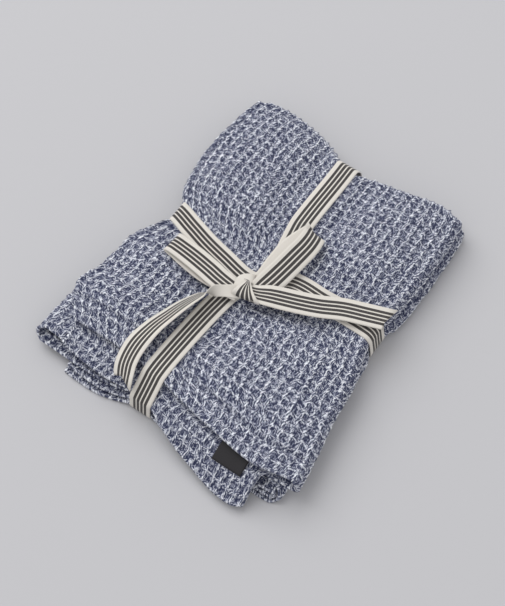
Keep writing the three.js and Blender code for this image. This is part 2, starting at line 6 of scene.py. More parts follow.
# %% Load the frame
import math
import bpy
import numpy as np
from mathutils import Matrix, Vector


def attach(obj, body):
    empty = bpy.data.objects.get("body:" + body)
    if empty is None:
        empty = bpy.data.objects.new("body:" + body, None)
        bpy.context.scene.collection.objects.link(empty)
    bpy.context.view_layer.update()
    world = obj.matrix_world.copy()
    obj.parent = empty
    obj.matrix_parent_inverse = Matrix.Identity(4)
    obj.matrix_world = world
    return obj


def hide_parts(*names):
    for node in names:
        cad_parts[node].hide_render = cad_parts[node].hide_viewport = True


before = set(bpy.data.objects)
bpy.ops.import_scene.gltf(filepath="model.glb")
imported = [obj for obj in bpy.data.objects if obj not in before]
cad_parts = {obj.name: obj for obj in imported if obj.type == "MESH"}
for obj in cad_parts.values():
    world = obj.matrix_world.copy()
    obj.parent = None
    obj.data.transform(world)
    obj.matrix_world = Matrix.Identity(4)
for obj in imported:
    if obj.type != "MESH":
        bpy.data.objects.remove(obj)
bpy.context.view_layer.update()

# %% [markdown]
# The picture is taken from above the bundle's near right corner with a long lens, so the bundle shows
# its top, its near end and its rolled side. A camera could be turned by angles until the view fits.
# Here it gets a place and a point to look at, because two points are easier to read and to correct.

# %% Camera
look_at = Vector((0.0107, 0.0032, 0.0140))
eye = Vector((0.3356, 0.2349, 0.7645))
photo_width = 505
focal_pixels = 1402.5
camera = bpy.data.cameras.new("camera")
camera.sensor_fit = "HORIZONTAL"
camera.sensor_width = 36
camera.lens = camera.sensor_width * focal_pixels / photo_width
camera.clip_start = 0.01
viewer = bpy.data.objects.new("viewer", camera)
viewer.location = eye
viewer.rotation_euler = (look_at - eye).to_track_quat("-Z", "Y").to_euler()
bpy.context.scene.collection.objects.link(viewer)
bpy.context.scene.camera = viewer
print("camera stands", round((look_at - eye).length, 3), "m away")

# %% [markdown]
# A procedural finish is a small graph of nodes. These helpers add a node, set its sockets from
# numbers or from other nodes' outputs, and hand back its output, so that a finish reads as a list of
# steps.

# %% Helpers for finishes
def new_finish(name, look):
    finish = bpy.data.materials.new(name)
    finish.use_nodes = True
    shader = finish.node_tree.nodes["Principled BSDF"]
    for key, value in look.items():
        shader.inputs[key].default_value = value
    return finish, finish.node_tree, shader


def feed(tree, socket, value):
    if isinstance(value, bpy.types.NodeSocket):
        tree.links.new(value, socket)
    else:
        socket.default_value = value


def add(tree, kind, sockets, result=0, **settings):
    node = tree.nodes.new(kind)
    for name, value in settings.items():
        setattr(node, name, value)
    for key, value in sockets.items():
        feed(tree, node.inputs[key], value)
    return node.outputs[result]


def maths(tree, operation, *values):
    return add(tree, "ShaderNodeMath", dict(enumerate(values)), operation=operation)


def blend(tree, share, first, second):
    node = tree.nodes.new("ShaderNodeMix")
    node.data_type = "RGBA"
    for socket, value in ((0, share), (6, first), (7, second)):
        feed(tree, node.inputs[socket], value)
    return node.outputs[2]


def between(tree, value, low, high, to_low=0.0, to_high=1.0):
    sockets = {0: value, 1: low, 2: high, 3: to_low, 4: to_high}
    return add(tree, "ShaderNodeMapRange", sockets, clamp=True)


def noise(tree, place, scale, detail=2.0, roughness=0.5):
    sockets = {"Vector": place, "Scale": scale, "Detail": detail, "Roughness": roughness}
    return add(tree, "ShaderNodeTexNoise", sockets)


def place_in_weave(tree):
    """The place in the weave, then how far that is along the piece and across it."""
    place = add(tree, "ShaderNodeUVMap", {}, uv_map="weave")
    split = tree.nodes.new("ShaderNodeSeparateXYZ")
    tree.links.new(place, split.inputs[0])
    return place, split.outputs[0], split.outputs[1]


def raise_threads(tree, shader, height, strength, distance):
    sockets = {"Strength": strength, "Distance": distance, "Height": height}
    tree.links.new(add(tree, "ShaderNodeBump", sockets), shader.inputs["Normal"])


# %% [markdown]
# The bundle lies on a plain pale table, in soft light from beyond its loose edges and in even light
# from all round. A small lamp would be simpler, but it would cast hard shadows. So one very large disk
# stands for a window, and the world for the room. Neither is part of the object.

# %% Table and light
table_half = 4
window_place = (-0.6, -1.9, 2.6)
window_size = 3.4
window_power = 62
room_light = 0.74


def make_floor():
    signs = [(-1, -1), (1, -1), (1, 1), (-1, 1)]
    corners = [(table_half * x, table_half * y, 0) for x, y in signs]
    mesh = bpy.data.meshes.new("floor")
    mesh.from_pydata(corners, [], [(0, 1, 2, 3)])
    floor = bpy.data.objects.new("floor", mesh)
    bpy.context.scene.collection.objects.link(floor)
    look = {"Base Color": (0.52, 0.518, 0.538, 1), "Roughness": 0.9, "Specular IOR Level": 0.1}
    mesh.materials.append(new_finish("pale table", look)[0])


def make_window_light():
    light = bpy.data.lights.new("window_light", "AREA")
    light.shape = "DISK"
    light.size = window_size
    light.energy = window_power
    lamp = bpy.data.objects.new("window_light", light)
    lamp.location = window_place
    lamp.rotation_euler = (-Vector(window_place)).to_track_quat("-Z", "Y").to_euler()
    bpy.context.scene.collection.objects.link(lamp)


def light_room():
    room = bpy.data.worlds.new("room")
    room.use_nodes = True
    background = room.node_tree.nodes["Background"]
    background.inputs["Color"].default_value = (1.0, 1.0, 1.0, 1)
    background.inputs["Strength"].default_value = room_light
    bpy.context.scene.world = room


make_floor()
make_window_light()
light_room()
bpy.context.scene.view_settings.view_transform = "Standard"

# %% [markdown]
# The cloth is folded as in the CAD model, so its few sizes and tables are repeated here. The mesh could
# be cut from the CAD solid, but that has facets too coarse for a weave. Working the folds out again
# from the same tables gives a grid as fine as the waffle needs, in the same place. Sizes are in
# millimetres, with x along the bundle, y across it and z up.

# %% The bundle's sizes
cloth_thickness = 2.1
pitch_pressed = 2.7  # from one layer to the next where the bundle is pressed flat
pitch_puff = 0.85  # what a layer gains in the middle of a puffed quarter
edge_reach = 30  # a quarter swells over this width from the bundle's edges
tie_reach = 28  # and over this width from the ribbon
hem_depth = 15
hem_extra = 1.0  # the flap is this much thicker along its hem
hem_rise = 3  # and thickens over this width
drop_reach = 17  # a layer sinks over this width past the end of the one below it
roll_end = 14  # width of the open end of the loose roll
ribbon_width = 15
ribbon_solid = 1.0  # thickness of the ribbon in the CAD model
gap = 0.3
channel_half = ribbon_width / 2 + 1.5
top_level = 8
to_centre = np.array([0.7, 1.7, 0.0])  # moves the origin to the middle of the underside

# The bundle's outline: its loose edge, and the edges of the two rolls on the other side
outline = {
    "x": [-117, -108, -90, -60, -32, -12.5, 4, 20, 50, 75, 100],
    "loose": [-77, -82.5, -85.6, -87, -82, -70.5, -81, -88, -91.5, -94, -95.5],
    "lowRoll": [76, 79.3, 81.2, 81.7, 80.6, 75.5, 78.7, 81, 83.4, 85, 85],
    "topRoll": [73, 76.4, 78.4, 79, 77.2, 74, 78, 82, 85.8, 90.5, 93.5],
}
# How far the top pass stays inside the loose edge
top_inset = {
    "x": [18, 36, 46, 61, 86],
    "inset": [3, 6, 5, 1, 20],
}
# The doubled edge at the far end
far_end = {
    "y": [-87, -80, -68, -45, -22, -4, 16, 38, 60, 74, 84],
    "x": [-109.5, -116.5, -121.5, -120.5, -114.5, -104, -109.6, -113.6, -118.2, -114, -106],
}
# Where each layer ends at the near end. The layers are counted from below.
near_end = {
    "y": [-88, -45, -15, 4, 24, 63, 84],
    8: [84, 82.5, 85, 88.2, 92, 97, 92.5],
    7: [96, 100, 98, 105.5, 112, 119, 105],
    6: [95.5, 97, 96, 103, 110, 117, 103],
    5: [80, 81, 82, 85, 89, 95, 94],
    4: [82, 83, 84, 87, 90, 93, 97],
    3: [101.5, 101, 96, 98, 99, 101, 100],
    2: [102, 105, 99, 101.5, 102, 103, 102],
    1: [106, 108, 101, 103.5, 104, 105, 104],
}
# The middle lines of the ribbon's two bands
cross_band = {
    "y": [-90, -73, -56, -42, -27, -11, -3, 5, 17, 39, 55, 90],
    "x": [-12.5, -12, -7, -2.8, 0.6, 4, 3.4, -2, -10.2, -11.3, -12.5, -12.5],
}
long_band = {
    "x": [-120, -90, -50, -38, -25, -10, 5, 15, 22, 43, 77, 92, 120],
    "y": [-4, -3, -2.6, -0.7, 1.8, 2.4, -3.5, -10, -11.8, -13.8, -15.2, -14.6, -13],
}
print("layers in the bundle:", len(near_end) - 1)

# %% [markdown]
# An edge of the real bundle is one soft line, so a few of its points are enough. Straight lines between
# them would show as corners. So a table is read along one smooth curve through its rows.

# %% Reading a table
def mix(first, second, share):
    return first + (second - first) * share


def ease(t):
    s = np.clip(t, 0, 1)
    return s * s * (3 - 2 * s)


def read(table, key, column, at):
    keys = np.array(table[key], float)
    values = np.array(table[column], float)
    before = np.maximum(np.arange(len(keys)) - 1, 0)
    after = np.minimum(np.arange(len(keys)) + 1, len(keys) - 1)
    slopes = (values[after] - values[before]) / (keys[after] - keys[before])
    place = np.clip(at, keys[0], keys[-1])
    i = np.clip(np.searchsorted(keys, place) - 1, 0, len(keys) - 2)
    step = keys[i + 1] - keys[i]
    t = (place - keys[i]) / step
    line = mix(values[i], values[i + 1], ease(t))
    start = slopes[i] * step * t * (1 - t) ** 2
    finish = slopes[i + 1] * step * t * t * (1 - t)
    return line + start - finish


def cross_x(y):
    return read(cross_band, "y", "x", y)


def long_y(x):
    return read(long_band, "x", "y", x)


def far_x(y):
    return read(far_end, "y", "x", y)


def near_x(level, y):
    return read(near_end, "y", level, y)


def edge_y(side, x):
    return read(outline, "x", side, x)


print("the flap ends beside the label at x =", round(float(near_x(top_level, 62)), 1), "mm")

# %% [markdown]
# The height of a layer is the sum of what lies below it. The layers are pressed together under the
# ribbon and at the edges, and puff up between them, which gives the four soft quarters. A cloth
# simulation could settle them, but would let them slide out of place. A sum keeps each layer clear of
# the next, and every quarter as full as the real one.

# %% Heights of the layers
bed_fade = 8


def bed(distance, fade):
    """1 along the bed of a band and 0 past its sides."""
    return 1 - ease((np.abs(distance) - channel_half) / fade)


def underside(x, y):
    cross = bed(x - cross_x(y), bed_fade)
    along = bed(y - long_y(x), bed_fade)
    one = ribbon_solid + 3 * gap
    return one * np.maximum(cross, along) + (ribbon_solid + 2 * gap) * cross * along


def pitch_at(x, y):
    tie = (1 - bed(x - cross_x(y), tie_reach)) * (1 - bed(y - long_y(x), tie_reach))
    ends = ease((x - far_x(y)) / edge_reach) * ease((near_x(top_level, y) - x) / edge_reach)
    loose_side = ease((y - edge_y("loose", x)) / edge_reach)
    roll_side = ease((edge_y("topRoll", x) - y) / edge_reach)
    return pitch_pressed + pitch_puff * tie * ends * loose_side * roll_side


def sink_past(below, x, y):
    """How far a layer has sunk past the end of the one below it. The loose roll's end stays open."""
    sink = ease((x - near_x(below, y)) / drop_reach)
    if below in (4, 5):
        return sink * ease((y - edge_y("loose", x) - roll_end) / roll_end)
    return sink


# %% [markdown]
# The top flap isn't quite a layer like the others. Its hem is turned in and thicker, it lies over the
# label, and its edge stands a little off the cloth below. Sculpting could do this once, but added to
# the sum it follows every change of the sizes.

# %% The flap and the heights together
label_y = 50.8
label_width = 20
label_start = 88
label_end = 104.5
label_solid = 1.0  # thickness of the label in the CAD model
room_beside = 8
room_fade = 14
room_behind = 10
room_rise = 8
flap_lift = 0.7
lift_reach = 9
lift_fade = 4


def hem_at(x, y):
    return hem_extra * ease((x - (near_x(top_level, y) - hem_depth)) / hem_rise)


def label_room(x, y):
    wide = 1 - ease((np.abs(y - label_y) - label_width / 2 - room_beside) / room_fade)
    along = ease((x - (label_start - room_behind)) / room_rise)
    return (label_solid + 2 * gap) * wide * along


def edge_lift(x, y):
    near_edge = ease((x - (near_x(top_level, y) - lift_reach)) / lift_reach)
    return flap_lift * near_edge * (1 - bed(y - long_y(x), lift_fade))


def level_z(level, x, y):
    pitch = pitch_at(x, y)
    z = underside(x, y) + cloth_thickness / 2
    for below in range(1, level):
        z = z + pitch * (1 - sink_past(below, x, y))
    if level == top_level:
        z = z + label_room(x, y) + hem_at(x, y) / 2 + edge_lift(x, y)
    return z


print("height of the top layer in the near quarter:", round(float(level_z(top_level, 40, 40)), 1), "mm")

# %% [markdown]
# The cloth is one piece, doubled at the far end and folded back and forth across into four passes,
# with a roll where each pass turns into the next. It could be made as eight loose layers, but the
# weave would break at every fold. So it is one grid: its rows run across the passes and rolls, and its
# columns run from the hem of the outer sheet, round the doubled end, to the hem of the inner sheet.
# Counting rows and columns in waffle cells keeps the weave unbroken.

# %% The passes and their edges
# A pass has an outer and an inner layer. Its step is 1 where it runs towards the rolls, and -1 back.
passes = [
    {"layers": (8, 7), "step": 1, "far_inset": 6.0},
    {"layers": (5, 6), "step": -1, "far_inset": 2.5},
    {"layers": (4, 3), "step": 1, "far_inset": 1.0},
    {"layers": (1, 2), "step": -1, "far_inset": 2.5},
]
turns = ["topLoose", "topRoll", "looseRoll", "lowRoll", "bottomLoose"]
end_radius = pitch_pressed / 2 + cloth_thickness / 2
turn_radius = 1.5 * pitch_pressed + cloth_thickness / 2
inner_drawn = {"start": 76, "over": 22, "by": 20}
lowest_drawn = {"start": 70, "over": 30, "by": 22}
lowest_inset = 6


def drawn_in(drawn, x):
    return drawn["by"] * ease((x - drawn["start"]) / drawn["over"])


def turn_y(side, sheet, x):
    """Where a pass turns into the next one, or ends in a loose edge."""
    if side == "topRoll":
        # Near the hems the inner sheet turns back sooner, and shows its own rolled end.
        sooner = drawn_in(inner_drawn, x) if sheet == 1 else 0
        return edge_y("topRoll", x) - turn_radius - sooner
    if side == "lowRoll":
        return edge_y("lowRoll", x) - turn_radius
    if side == "looseRoll":
        return edge_y("loose", x) + turn_radius
    if side == "topLoose":
        return edge_y("loose", x) + read(top_inset, "x", "inset", x)
    return edge_y("loose", x) + lowest_inset + drawn_in(lowest_drawn, x)


# %% The grid of the cloth
cell_steps = 6
pass_cells = 27
roll_cells = 2
outer_cells = 34
end_cells = 1
inner_cells = 37
far_start = -112
near_start = 95
settling_rounds = 4


def lay(p, sheet, across, along):
    """Points of one sheet of a pass, at shares of its way across and of its way to the near end."""
    level = passes[p]["layers"][sheet]
    x = mix(far_start, near_start, along) + 0 * across
    # The sides depend on x and the ends on y, so a few rounds settle both.
    for _ in range(settling_rounds):
        y = mix(turn_y(turns[p], sheet, x), turn_y(turns[p + 1], sheet, x), across)
        x = mix(far_x(y) + end_radius + passes[p]["far_inset"], near_x(level, y), along)
    return np.stack([x, y, level_z(level, x, y)], axis=-1)


def roll_over(p, sheet, angles, along):
    """Points of one sheet of the roll from pass p to the next."""
    upper = lay(p, sheet, np.ones((1, 1)), along)
    lower = lay(p + 1, sheet, np.zeros((1, 1)), along)
    radius = (upper[..., 2] - lower[..., 2]) / 2
    turned = (angles / math.pi)[..., None]
    points = mix(upper, lower, turned)
    points[..., 1] += passes[p]["step"] * radius * np.sin(angles)
    points[..., 2] = lower[..., 2] + radius * (1 + np.cos(angles))
    return points


def cloth_side(sheet, cells):
    along = np.linspace(0, 1, cells * cell_steps + 1)[None, :]
    rows = []
    for p in range(len(passes)):
        across = np.linspace(0, 1, pass_cells * cell_steps + 1)[:, None]
        rows.append(lay(p, sheet, across, along))
        if p < len(passes) - 1:
            steps = roll_cells * cell_steps
            angles = np.linspace(0, math.pi, steps + 1)[1:-1, None]
            rows.append(roll_over(p, sheet, angles, along))
    return np.concatenate(rows)


def cloth_middle():
    outer = cloth_side(0, outer_cells)[:, ::-1]
    inner = cloth_side(1, inner_cells)
    steps = end_cells * cell_steps
    angles = np.linspace(0, math.pi, steps + 1)[1:-1][None, :, None]
    half = (outer[:, -1:] - inner[:, :1]) / 2
    middle = (outer[:, -1:] + inner[:, :1]) / 2
    fold = middle + half * np.cos(angles)
    fold[..., 0] -= np.linalg.norm(half, axis=-1) * np.sin(angles[..., 0])
    return np.concatenate([outer, fold, inner], axis=1)


middle_points = cloth_middle()
row_count, column_count = middle_points.shape[:2]
print("cloth grid:", row_count, "rows by", column_count, "columns")

# %% [markdown]
# Most of the cloth is hidden in the bundle. All of it could have the same fine mesh, but that would take
# several times the faces. So both sides of the cloth are charted in waffle cells, and only the cells
# that show are made fine. A hidden one is a single plain face.

# %% Where the cloth shows
row_cells = (row_count - 1) // cell_steps
column_cells = (column_count - 1) // cell_steps
doubled_end = outer_cells
first_roll = pass_cells
second_roll = first_roll + roll_cells + pass_cells
third_roll = second_roll + roll_cells + pass_cells

front_shows = np.zeros((row_cells, column_cells), bool)
back_shows = np.zeros((row_cells, column_cells), bool)
# The top pass with its roll, the loose roll with the hem beside it, and the low roll
front_shows[:first_roll + 4, :doubled_end + 3] = True
front_shows[second_roll - 2:second_roll + 4, doubled_end:] = True
front_shows[second_roll - 6:second_roll, -10:] = True
front_shows[third_roll - 2:third_roll + 4, :doubled_end + 1] = True
# The doubled far end, and what shows of the other layers along their hems
front_shows[:, doubled_end - 1:doubled_end + 2] = True
front_shows[third_roll:, -2:] = True
back_shows[:first_roll + 1, -5:] = True
back_shows[second_roll:third_roll, -3:] = True
back_shows[third_roll:, :2] = True
print("cells with ridges:", int(front_shows.sum() + back_shows.sum()))

# %% [markdown]
# A waffle weave has raised ridges both ways, with a square pocket between them. They could be bump
# only, but they are a millimetre high and cast the shadows that make the cloth look like a waffle. So
# the mesh has them. No two are alike, so each cell's ridges get a height and a sway of their own.

# %% Ridges and pockets
ridge_height = 1.25
floor_offset = 0.35
ridge_half = 0.17  # in cells
cross_share = 0.85
zigzag = 0.35
zigzag_steps = np.array([0.0, 0.7, 1.0, 0.1, -0.8, -0.9])
uneven_ridges = 0.24
uneven_cross_ridges = 0.3
uneven_yarn = 0.12
uneven_sway = 0.38


def corner_weights(shows):
    padded = np.pad(shows, 1, mode="edge").astype(float)
    around = [padded[:-1, :-1], padded[1:, :-1], padded[:-1, 1:], padded[1:, 1:]]
    return np.minimum.reduce(around)


def spread(corners):
    """Values at the corners of the cells, spread evenly over the points between them."""
    i = np.arange(row_count) / cell_steps
    j = np.arange(column_count) / cell_steps
    i0 = np.minimum(i.astype(int), row_cells - 1)
    j0 = np.minimum(j.astype(int), column_cells - 1)
    share = (j - j0)[None, :]
    first = mix(corners[i0][:, j0], corners[i0][:, j0 + 1], share)
    second = mix(corners[i0 + 1][:, j0], corners[i0 + 1][:, j0 + 1], share)
    return mix(first, second, (i - i0)[:, None])


def off_ridge(index):
    """How far a row or column is from the nearest ridge, 0 on it and 0.5 in the pocket's middle."""
    phase = (index / cell_steps) % 1
    return np.minimum(phase, 1 - phase)


chance = np.random.default_rng(7)
corner_shape = (row_cells + 1, column_cells + 1)
ridge = np.exp(-(off_ridge(np.arange(row_count)) / ridge_half) ** 2)[:, None]
cross_ridge = np.exp(-(off_ridge(np.arange(column_count)) / ridge_half) ** 2)[None, :]
ridge = ridge * (1 + spread(chance.normal(0, uneven_ridges, corner_shape)))
cross_ridge = cross_ridge * cross_share * (1 + spread(chance.normal(0, uneven_cross_ridges, corner_shape)))
uneven = chance.normal(0, uneven_yarn, (row_count, column_count))
relief = 1 - (1 - ridge) * (1 - cross_ridge) + uneven
sway = zigzag_steps[np.arange(column_count) % cell_steps]
sway = zigzag * sway[None, :] + spread(chance.normal(0, uneven_sway, corner_shape))
print("relief from", round(float(relief.min()), 2), "to", round(float(relief.max()), 2))

# %% [markdown]
# The cloth has a thickness, so every point of its middle moves out to a front and a back face. On the
# real bundle the ribbon presses the ridges flat, the flap is thicker along its hem and drawn in at the
# seam, and a gap shows under its edge. All this could be painted on, but as shape it shades rightly from
# every side.

# %% Ways of the cloth
run_across = np.gradient(middle_points, axis=0)
run_along = np.gradient(middle_points, axis=1)
facing = np.cross(run_across, run_along)
facing /= np.linalg.norm(facing, axis=-1, keepdims=True)
way_across = run_across / np.linalg.norm(run_across, axis=-1, keepdims=True)
print("the corner of the flap faces", facing[0, 0].round(2))

# %% Hem, seam, gap and pressed cloth
seam_width = 1.1
seam_depth = 1.9
thin_edge = 5
thinner_share = 0.45
dip_behind = 0.6
dip_width = 2.4
dip_depth = 0.8
press_fade = 2.5


def in_block(block, values):
    """Values for a block of the grid, and 0 for the rest of it."""
    whole = np.zeros((row_count, column_count))
    whole[block] = values
    return whole


# The flap is thicker along its hem, drawn in along the seam, and hollow under its edge.
top_rows = slice(0, first_roll * cell_steps + 1)
flap = (top_rows, slice(0, outer_cells * cell_steps + 1))
flap_x = middle_points[flap][..., 0]
flap_y = middle_points[flap][..., 1]
from_seam = flap_x - (near_x(top_level, flap_y) - hem_depth)
hem_thicker = in_block(flap, hem_at(flap_x, flap_y))
seam = in_block(flap, np.exp(-(from_seam / seam_width) ** 2))
hollow_edge = in_block(flap, ease((from_seam - hem_depth + thin_edge) / thin_edge))

# The layer below dips along the flap's edge, which leaves a dark gap under it.
below_flap = (top_rows, slice((outer_cells + end_cells) * cell_steps, None))
below_x = middle_points[below_flap][..., 0]
below_y = middle_points[below_flap][..., 1]
from_flap = below_x - near_x(top_level, below_y)
dip = in_block(below_flap, np.exp(-((from_flap + dip_behind) / dip_width) ** 2))

# The drawn ribbon presses the waffle flat.
cross_off = np.abs(middle_points[..., 0] - cross_x(middle_points[..., 1]))
long_off = np.abs(middle_points[..., 1] - long_y(middle_points[..., 0]))
pressed = 1 - ease((np.minimum(cross_off, long_off) - ribbon_width / 2) / press_fade)
print("share of the cloth's points that the ribbon presses:", round(float(pressed.mean()), 3))

# %% The two faces of the cloth
flattened = 0.85


def cloth_face(shows, side):
    raised = spread(corner_weights(shows)) * (1 - flattened * pressed)
    raised = raised * (1 - flattened * np.maximum(seam, dip))
    offset = mix(cloth_thickness / 2, floor_offset + ridge_height * relief, raised) + hem_thicker / 2
    if side > 0:
        offset = offset - seam_depth * seam * (1 - pressed)
    else:
        offset = offset * (1 - thinner_share * hollow_edge * (1 - pressed))
        offset = offset - dip_depth * dip * (1 - pressed)
    face = middle_points + side * facing * offset[..., None] + way_across * (sway * raised)[..., None]
    face[..., 2] = np.maximum(face[..., 2], 0)
    return face


front_points = cloth_face(front_shows, 1)
back_points = cloth_face(back_shows, -1)
print("the front face reaches up to", round(float(front_points[..., 2].max()), 1), "mm")

# %% [markdown]
# The mesh is built cell by cell. A cell that shows gets all its small faces. A hidden one is a single
# face, whose outline passes through the points of its finer neighbours, so that the sheet stays
# closed. Thin rims join the two faces along the hems and the loose edges.

# %% Faces of the cloth
def used_points(shows):
    used = np.zeros((row_count, column_count), bool)
    used[::cell_steps, ::cell_steps] = True
    for cell_i, cell_j in zip(*np.nonzero(shows)):
        i = cell_i * cell_steps
        j = cell_j * cell_steps
        used[i:i + cell_steps + 1, j:j + cell_steps + 1] = True
    return used


def span(start, used_line):
    """Used indexes of one cell's side, both ends included."""
    return [k for k in range(start, start + cell_steps + 1) if used_line[k]]


def side_faces(shows, used, number, flip):
    faces = []
    for cell_i in range(row_cells):
        for cell_j in range(column_cells):
            i = cell_i * cell_steps
            j = cell_j * cell_steps
            if shows[cell_i, cell_j]:
                for a in range(i, i + cell_steps):
                    for b in range(j, j + cell_steps):
                        corners = [(a, b), (a + 1, b), (a + 1, b + 1), (a, b + 1)]
                        faces.append([number[c] for c in corners])
                continue
            low = i + cell_steps
            far = j + cell_steps
            loop = [(k, j) for k in span(i, used[:, j])][:-1]
            loop += [(low, k) for k in span(j, used[low])][:-1]
            loop += [(k, far) for k in span(i, used[:, far])[::-1]][:-1]
            loop += [(i, k) for k in span(j, used[i])[::-1]][:-1]
            faces.append([number[c] for c in loop])
    return [face[::-1] for face in faces] if flip else faces


def number_points(used, start):
    number = np.full(used.shape, -1)
    number[used] = start + np.arange(int(used.sum()))
    return number


# %% Rims and the whole sheet
rim_bulge = 0.5


def rim_lines():
    """The four edges of the sheet: row and column indexes, outward side, and which way is forward."""
    rows = np.arange(row_count)
    columns = np.arange(column_count)
    return [
        (np.zeros_like(columns), columns, -run_across[0], True),
        (np.full_like(columns, row_count - 1), columns, run_across[-1], False),
        (rows, np.zeros_like(rows), -run_along[:, 0], False),
        (rows, np.full_like(rows, column_count - 1), run_along[:, -1], True),
    ]


def build_sheet():
    used_front = used_points(front_shows)
    used_back = used_points(back_shows)
    front_number = number_points(used_front, 0)
    back_number = number_points(used_back, int(used_front.sum()))
    points = [front_points[used_front], back_points[used_back]]
    places = [np.argwhere(used_front), np.argwhere(used_back)]
    faces = side_faces(front_shows, used_front, front_number, False)
    faces += side_faces(back_shows, used_back, back_number, True)
    total = sum(len(p) for p in points)
    rim_numbers = {}
    for i_line, j_line, outward, forward in rim_lines():
        used = used_front[i_line, j_line] | used_back[i_line, j_line]
        out = outward / np.linalg.norm(outward, axis=-1, keepdims=True)
        rim = []
        for k, (i, j) in enumerate(zip(i_line, j_line)):
            rim.append(-1)
            if not used[k]:
                continue
            if (i, j) not in rim_numbers:
                rim_numbers[(i, j)] = total
                total += 1
                points.append((middle_points[i, j] + rim_bulge * out[k])[None, :])
                places.append(np.array([[i, j]]))
            rim[k] = rim_numbers[(i, j)]
        front_line = front_number[i_line, j_line]
        back_line = back_number[i_line, j_line]
        for start in range(0, len(i_line) - 1, cell_steps):
            edge = [[line[k] for k in range(start, start + cell_steps + 1) if line[k] >= 0]
                    for line in (front_line, rim, back_line)]
            for first, second in ((edge[0], edge[1]), (edge[1], edge[2])):
                face = first + second[::-1]
                faces.append(face if forward else face[::-1])
    return np.concatenate(points), np.concatenate(places), faces


# %% [markdown]
# Each piece is one mesh in metres. Its finish could be placed by the mesh's place in space, but then
# the weave would smear where the cloth stands upright. So every corner keeps its place in the weave as
# a UV, and the weave follows the cloth round its folds.

# %% A piece of the scene
def to_metres(points):
    return (points + to_centre) / 1000


def new_piece(name, points, faces, finish, places):
    mesh = bpy.data.meshes.new(name)
    mesh.from_pydata(to_metres(points).tolist(), [], [list(map(int, face)) for face in faces])
    uv = mesh.uv_layers.new(name="weave")
    corner_points = np.empty(len(mesh.loops), int)
    mesh.loops.foreach_get("vertex_index", corner_points)
    uv.data.foreach_set("uv", places[corner_points].astype(np.float32).ravel())
    mesh.shade_smooth()
    mesh.materials.append(finish)
    piece = bpy.data.objects.new(name, mesh)
    bpy.context.scene.collection.objects.link(piece)
    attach(piece, "root")
    print(name, "has", len(points), "points and", len(faces), "faces")
    return piece


# %% [markdown]
# The cloth is woven from a marled yarn: fine blue-grey and off-white strands twisted together, so
# that every ridge is flecked. A picture of cloth could be wrapped on, but it would stretch at the
# folds. So the colour is noise at the place in the weave, stretched along each thread and slanted like
# its twist. It is lighter on the ridges, partly from the yarn and partly as a painted highlight, and
# darker in the pockets, partly from the yarn and partly as painted shade beside the ridges. The noise
# also gives the bump.

# %% Yarn
twist = 0.35
dark_yarn = (0.03, 0.036, 0.08, 1)
middle_yarn = (0.20, 0.215, 0.30, 1)
light_yarn = (0.86, 0.88, 0.93, 1)


def threads(tree, place, along, across, shift):
    sockets = {"Vector": place, "Location": (shift, 0, 0), "Rotation": (0, 0, twist)}
    sockets["Scale"] = (along, across, 1)
    strand = add(tree, "ShaderNodeMapping", sockets, vector_type="TEXTURE")
    return noise(tree, strand, scale=1.0, detail=1.0)


def yarn_colour(tree, lightness):
    ramp = tree.nodes.new("ShaderNodeValToRGB")
    ramp.color_ramp.elements[0].color = dark_yarn
    ramp.color_ramp.elements[0].position = 0.05
    ramp.color_ramp.elements[1].color = light_yarn
    ramp.color_ramp.elements[1].position = 0.9
    middle = ramp.color_ramp.elements.new(0.45)
    middle.color = middle_yarn
    tree.links.new(lightness, ramp.inputs[0])
    return ramp.outputs[0]


# %% Marled waffle finish
# Distances in cells: where something starts to fade in, and where it is full
ridge_fade = (0.2, 0.03)
painted_shade_fade = (0.34, 0.1)
pocket_shade_fade = (0.12, 0.4)
# Painted shade: each pocket is darkened in a strip beside the ridge that shades it.
painted_shade_place = 0.36  # place of a pocket's darkest spot, against the ridge that shades it
base_lightness = -0.25


